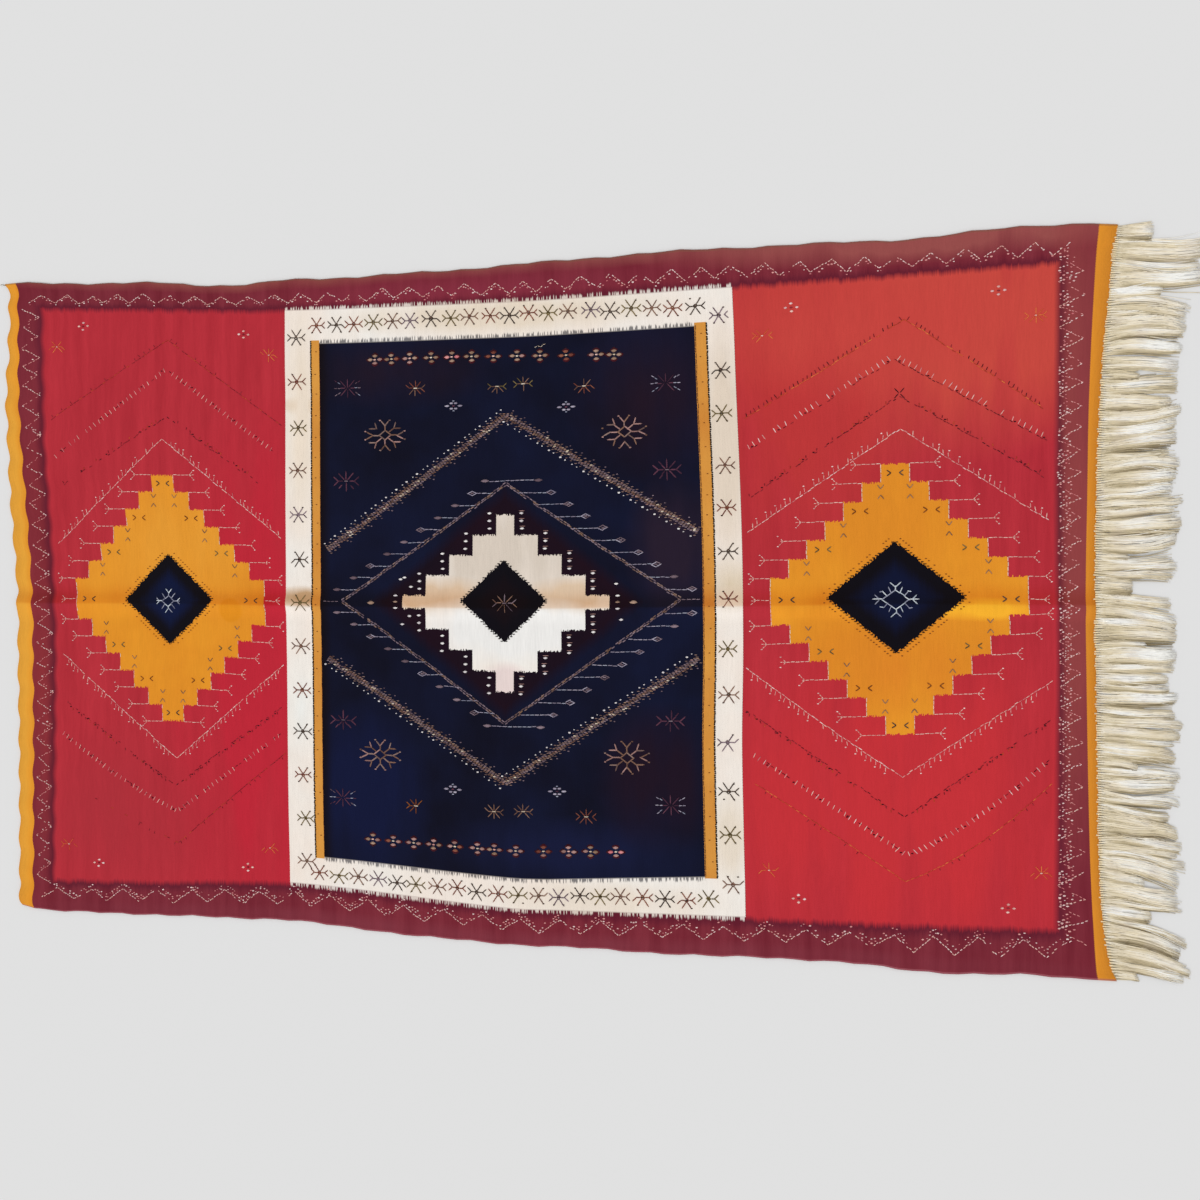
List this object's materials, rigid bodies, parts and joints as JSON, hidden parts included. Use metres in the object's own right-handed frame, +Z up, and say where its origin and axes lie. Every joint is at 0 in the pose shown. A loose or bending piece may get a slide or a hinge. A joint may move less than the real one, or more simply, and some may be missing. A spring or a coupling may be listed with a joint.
{
  "type": "flat-woven wool rug",
  "caption": "Long flat-woven wool rug lying flat, with woven stepped diamonds, a faint lengthwise crease and a loose warp fringe at one end.",
  "frame": {"origin": "on the floor under the middle of the rug's whole length and width, fringe included", "axes": "+X along the warp towards the fringed end, +Y along the weft, +Z up from the floor"},
  "size_m": [2.6832, 1.5148, 0.0095],
  "materials": {
    "wool_cloth": "weft-faced flat weave of dyed wool",
    "warp_yarn": "undyed ivory wool yarn, loose"
  },
  "bodies": {
    "root": {"rug_cloth": "wool_cloth", "warp_fringe": "warp_yarn"}
  },
  "joints": []
}
